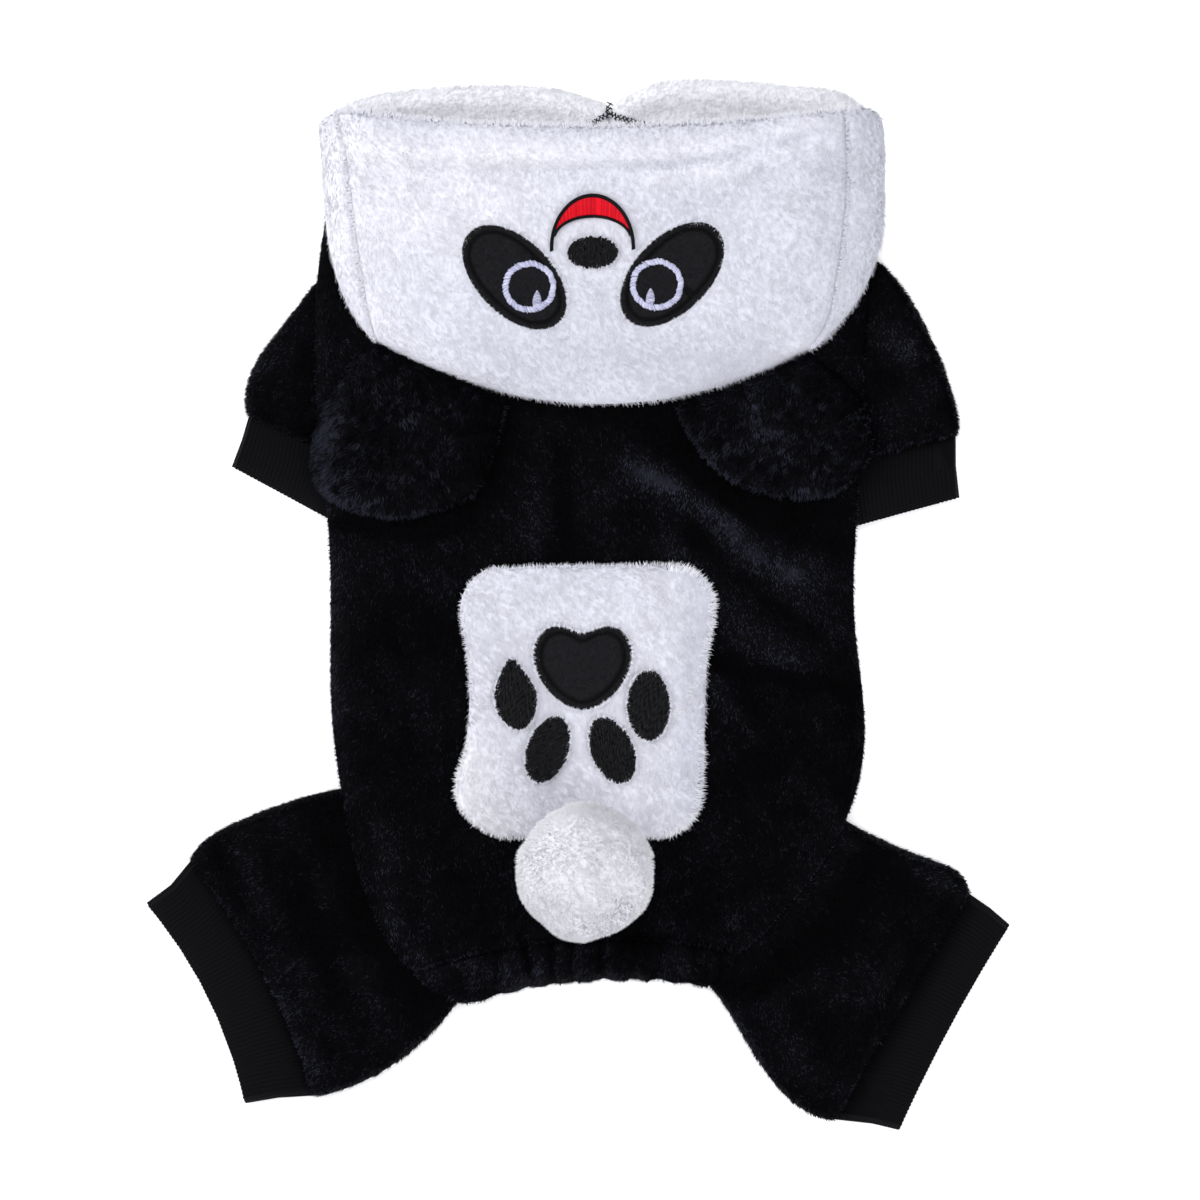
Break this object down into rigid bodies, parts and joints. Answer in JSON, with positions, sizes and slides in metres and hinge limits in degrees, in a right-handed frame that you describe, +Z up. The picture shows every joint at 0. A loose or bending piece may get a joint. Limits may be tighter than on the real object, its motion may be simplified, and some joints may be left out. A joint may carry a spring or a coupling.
{
  "type": "hooded dog coat",
  "caption": "Four-legged hooded plush coat for a small dog, laid flat with its back up: turned-back hood with ears, rib cuffs, gathered rear hem, back patch and pompom tail.",
  "frame": {"origin": "on the ground under the middle of the whole laid coat's box", "axes": "+Z up out of the laid coat, +Y to the head end, +X to the right as seen from above"},
  "size_m": [0.3235, 0.3938, 0.0583],
  "materials": {
    "black_plush": "short brushed plush pile",
    "white_plush": "short brushed plush pile",
    "white_yarn": "trimmed yarn pile",
    "black_rib_knit": "fine rib knit",
    "black_felt": "pressed felt"
  },
  "bodies": {
    "root": {"back_panel": "black_plush", "hem_casing": "black_plush", "belly_left": "black_plush", "belly_right": "black_plush", "fore_sleeve_left": "black_plush", "fore_sleeve_right": "black_plush", "hind_leg_left": "black_plush", "hind_leg_right": "black_plush", "ear_left": "black_plush", "ear_right": "black_plush", "fore_cuff_left": "black_rib_knit", "fore_cuff_right": "black_rib_knit", "hind_cuff_left": "black_rib_knit", "hind_cuff_right": "black_rib_knit", "hood_face": "white_plush", "hood_side_left": "white_plush", "hood_side_right": "white_plush", "hood_back": "white_plush", "hood_throat_left": "white_plush", "hood_throat_right": "white_plush", "back_patch": "white_plush", "pompom": "white_yarn", "eye_patch_left": "black_felt", "eye_patch_right": "black_felt", "paw_pad": "black_felt"}
  },
  "joints": []
}
